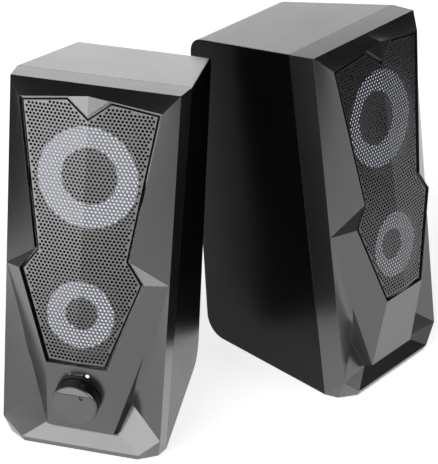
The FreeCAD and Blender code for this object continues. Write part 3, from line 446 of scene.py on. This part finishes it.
def sheetWithHoles(outline, holes, lines):
    # Triangulates a flat outline round its holes, each a ring of as many points, and turns every face
    # the same way. The triangulation works on numbers near one, so lengths go to it scaled up.
    count, sides = len(outline), holes.shape[1]
    here = np.arange(count)
    first = count + np.arange(len(holes))[:, None] * sides
    steps = np.arange(sides)
    ringEdges = np.stack((first + steps, first + (steps + 1) % sides), axis=-1).reshape(-1, 2)
    edges = np.concatenate((np.stack((here, (here + 1) % count), axis=-1), ringEdges, lines))
    scale, nearest = sheetValues["scale"], sheetValues["nearest"]
    plan = [Vector(point) for point in np.concatenate((outline, holes.reshape(-1, 2))) * scale]
    points, _, faces, *_ = delaunay_2d_cdt(plan, edges.tolist(), [], 1, nearest)
    points, faces = np.array(points) / scale, np.array(faces)
    holeOf = (faces - count) // sides  # a face with all its corners on one ring fills that hole
    faces = faces[(holeOf[:, 0] < 0) | (holeOf.min(1) != holeOf.max(1))]
    first, second = (points[faces[:, corner]] - points[faces[:, 0]] for corner in (1, 2))
    clockwise = first[:, 0] * second[:, 1] - first[:, 1] * second[:, 0] < 0
    faces[clockwise] = faces[clockwise][:, ::-1]
    return points, faces


def between(count, first, second):
    # quads that join one ring of points to the next
    here = np.arange(count)
    after = (here + 1) % count
    return np.stack((here + first, after + first, after + second, here + second), axis=-1).tolist()


def ringOf(sides, turn=0.5):
    # a circle of radius one, its first corner a part of a step round
    angles = (np.arange(sides) + turn) * 2 * math.pi / sides
    return np.stack((np.cos(angles), np.sin(angles)), axis=-1)


def perforatedGrille(side, values):
    # Staggered rows of round holes in the flat outline, folded along the middle line, where
    # ahead = crest - fold * |across|, with walls from the front to the back along every open edge.
    facing, outline, crest, _ = openingOutline(side)
    outline = moved(outline, -values["inset"])
    pitch = values["pitch"]
    rows = np.arange(outline[:, 1].min(), outline[:, 1].max(), pitch * math.sqrt(3) / 2)
    columns = np.arange(-values["columns"], values["columns"] + 1) * pitch
    spots = np.stack(np.meshgrid(columns, rows), axis=-1)
    spots[1::2, :, 0] += pitch / 2
    spots = spots.reshape(-1, 2)
    spots = spots[insideOutline(spots, outline, values["hole"] + values["margin"])]
    onFold = np.flatnonzero(np.abs(outline[:, 0]) < outlineValues["onMiddle"])
    rings = spots[:, None] + values["hole"] * ringOf(values["sides"])[None]
    points, faces = sheetWithHoles(outline, rings, onFold[None, [0, -1]])

    front = np.stack((points[:, 0], crest - values["fold"] * np.abs(points[:, 0]), points[:, 1]), axis=-1)
    back = front - (0, values["thickness"], 0)
    sidesOf = np.concatenate((faces[:, (0, 1)], faces[:, (1, 2)], faces[:, (2, 0)]))
    keys = np.sort(sidesOf, axis=1) @ (len(front), 1)
    _, position, counts = np.unique(keys, return_index=True, return_counts=True)
    border, shift = sidesOf[position[counts == 1]], len(front)
    walls = np.stack((border[:, 1], border[:, 0], border[:, 0] + shift, border[:, 1] + shift), axis=-1)
    allFaces = faces.tolist() + (faces[:, ::-1] + shift).tolist() + walls.tolist()
    piece = newPiece(side + "_perforated_grille", facing.world(np.concatenate((front, back))), allFaces,
                     "grille_steel", "speakers")
    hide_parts(side + "_grille")
    print("stage:", side, "grille with", len(spots), "holes and", len(allFaces), "faces")


def recessShadeSheet(side, values):
    # painted shade: a near-black sheet on the recess floor behind the grille, cut out round the two drivers'
    # flanges, standing in for the shade in the recess
    facing, outline, _, _ = openingOutline(side)
    outline = moved(outline, -values["inset"])
    rings = []
    for kind in ("woofer", "tweeter"):
        flange = facing.local(nodePoints(f"{side}_{kind}_surround"))
        low, high = flange.min(0), flange.max(0)
        radius = (high[0] - low[0]) / 2 + values["clear"]
        rings.append((low[[0, 2]] + high[[0, 2]]) / 2 + radius * ringOf(values["sides"]))
    points, faces = sheetWithHoles(outline, np.array(rings), np.empty((0, 2), int))
    front = facing.local(nodePoints(side + "_woofer_basket"))[:, 1].max()
    depth = np.full(len(points), front - values["flange"] + values["lift"])
    newPiece(side + "_recess_shade_sheet", facing.world(np.stack((points[:, 0], depth, points[:, 1]), axis=-1)),
             faces, "painted_shade_black", "speakers")


def gapShadeStrip(side, values):
    # painted shade: a flat near-black strip behind the sheet's edge, which closes the gap round it and stands
    # in for the gap's shadow
    facing, outline, _, back = openingOutline(side)
    rings = [moved(outline, values[edge]) for edge in ("outside", "inside")]
    flat = np.concatenate(rings)
    ahead = back - values["fold"] * np.abs(flat[:, 0])
    points = np.stack((flat[:, 0], ahead, flat[:, 1]), axis=-1)
    faces = between(len(outline), 0, len(outline))
    newPiece(side + "_gap_shade_strip", facing.world(points), faces, "painted_shade_black", "speakers")


for side in speakers:
    perforatedGrille(side, grilleValues)
    gapShadeStrip(side, gapShadeValues)
    recessShadeSheet(side, recessShadeValues)


# Places on the panel are across and up from the knob's axis. The rim's places are shares of the
# chamfer: in and back for its middle corner, then in for its inner wall and for the faces.
knobValues = {"steps": 96, "chamfer": 0.0008, "rim": {"middle": (0.4, 0.2), "wall": 1.2, "inner": 1.1},
              "sunk": 0.0009, "chord": 0.0073, "groove": 0.00017, "rows": 14, "bow": 0.0007, "tip": 0.9995,
              "dimple": {"place": (0.0042, 0.0056), "radius": 0.0013, "depth": 0.0012, "rings": 8,
                         "bottom": 0.05, "sides": 32}}
markValues = {"ring": {"place": (-0.0043, 0.0159), "outer": 0.0011, "inner": 0.0008, "steps": 24},
              "ticks": {"first": -0.0011, "spacing": 0.001, "count": 5, "foot": 0.0152, "low": 0.0005,
                        "growth": 0.00022, "width": 0.00035},
              "near": 0.003, "lift": 0.00004}


class Panel:
    # the control panel's directions, with the origin in the middle of the knob
    def __init__(self):
        self.axes = frontAxes("volume_turn")
        knob = nodePoints("main_volume_knob") @ self.axes.T
        self.centre = (knob.min(0) + knob.max(0)) / 2
        self.radius = (knob[:, 0].max() - knob[:, 0].min()) / 2
        self.half = (knob[:, 1].max() - knob[:, 1].min()) / 2

    def local(self, points):
        return points @ self.axes.T - self.centre

    def world(self, flat, ahead):
        ahead = np.broadcast_to(ahead, len(flat))
        return (np.stack((flat[:, 0], ahead, flat[:, 1]), axis=-1) + self.centre) @ self.axes


def volumeKnob(values):
    # a turned black skirt, a flat face below the chord, a bowed one above it, and a dimple to point with; as
    # painted light, the rim, face and dimple take a lighter copy of the skirt's plastic and the brow a lighter
    # one still
    panel = Panel()
    steps, chamfer, radius, front = values["steps"], values["chamfer"], panel.radius, panel.half
    (inward, backward), wall = values["rim"]["middle"], values["rim"]["wall"]
    profile = ((radius - chamfer, -front), (radius, -front), (radius, front - chamfer),
               (radius - inward * chamfer, front - backward * chamfer), (radius - chamfer, front),
               (radius - wall * chamfer, front - values["sunk"]))
    rings = [size * ringOf(steps, 0) for size, _ in profile]
    points = panel.world(np.concatenate(rings), np.repeat([ahead for _, ahead in profile], steps))

    def turned(count):
        return [face for ring in range(count) for face in between(steps, ring * steps, (ring + 1) * steps)]

    skirt = newPiece("main_knob_skirt", points[:3 * steps], turned(2) + [list(range(steps))[::-1]],
                     "knob_plastic", "volume_control")
    # painted light: the rim's chamfer takes the lighter copy of the skirt's plastic, a painted highlight round
    # the face
    newPiece("main_knob_rim", points[2 * steps:], turned(3) + [list(range(3 * steps, 4 * steps))],
             "knob_face_painted_light", "volume_control")
    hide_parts("main_volume_knob")

    inner = radius - values["rim"]["inner"] * chamfer
    low, high = values["chord"] - values["groove"], values["chord"] + values["groove"]
    end = math.asin(low / inner)
    turn = np.linspace(math.pi - end, 2 * math.pi + end, steps)
    outline = inner * np.stack((np.cos(turn), np.sin(turn)), axis=-1)
    dimple = values["dimple"]
    circle = ringOf(dimple["sides"])
    mouth = dimple["place"] + dimple["radius"] * circle
    points, faces = sheetWithHoles(outline, mouth[None], np.empty((0, 2), int))
    newPiece("main_knob_face", panel.world(points, front), faces, "knob_face_painted_light", "volume_control")

    # the bow: ahead = front - bow * (share of the way from the chord to the rim) squared
    share = np.sin(np.linspace(0, math.pi / 2, values["rows"]))
    height = high + share * (inner - high) * values["tip"]
    reach = np.sqrt(inner ** 2 - height ** 2)
    points = np.concatenate((np.stack((-reach, height), axis=-1), np.stack((reach, height), axis=-1)))
    depth = front - values["bow"] * np.tile(share, 2) ** 2
    row = np.arange(values["rows"] - 1)
    faces = np.stack((row, row + values["rows"], row + values["rows"] + 1, row + 1), axis=-1)
    # painted light: the brow takes the lightest copy of the knob's plastic
    newPiece("main_knob_brow", panel.world(points, depth), faces, "knob_segment_painted_light", "volume_control",
             smooth=True)

    # the dimple: depth = deepest * root(1 - share of the radius squared)
    share = np.linspace(1, dimple["bottom"], dimple["rings"])
    points = np.concatenate([dimple["place"] + dimple["radius"] * size * circle for size in share])
    depth = front - dimple["depth"] * np.repeat(np.sqrt(1 - share ** 2), dimple["sides"])
    faces = [face for ring in range(dimple["rings"] - 1)
             for face in between(dimple["sides"], ring * dimple["sides"], (ring + 1) * dimple["sides"])]
    faces.append(list(range(len(points) - dimple["sides"], len(points))))
    newPiece("main_knob_dimple", panel.world(points, depth), faces, "knob_face_painted_light", "volume_control",
             smooth=True)


def panelMarks(values):
    # a ring and five rising bars, painted on the panel
    panel = Panel()
    bezel, light = panel.local(nodePoints("main_bezel")), panel.local(nodePoints("main_power_light"))
    beside = np.abs(bezel[:, (0, 2)] - light[:, (0, 2)].mean(0)).max(1) < values["near"]
    surface = bezel[beside, 1].max() + values["lift"]
    ring, ticks = values["ring"], values["ticks"]
    circle = ringOf(ring["steps"])
    points = [ring["place"] + radius * circle for radius in (ring["outer"], ring["inner"])]
    faces = between(ring["steps"], 0, ring["steps"])
    for index in range(ticks["count"]):
        left, foot = ticks["first"] + index * ticks["spacing"], ticks["foot"]
        right, top = left + ticks["width"], foot + ticks["low"] + index * ticks["growth"]
        faces.append([2 * ring["steps"] + 4 * index + corner for corner in range(4)])
        points.append(np.array(((left, foot), (right, foot), (right, top), (left, top))))
    newPiece("main_panel_marks", panel.world(np.concatenate(points), surface), faces, "mark_paint", "speakers")


volumeKnob(knobValues)
panelMarks(markValues)
print("stage: knob and marks made")
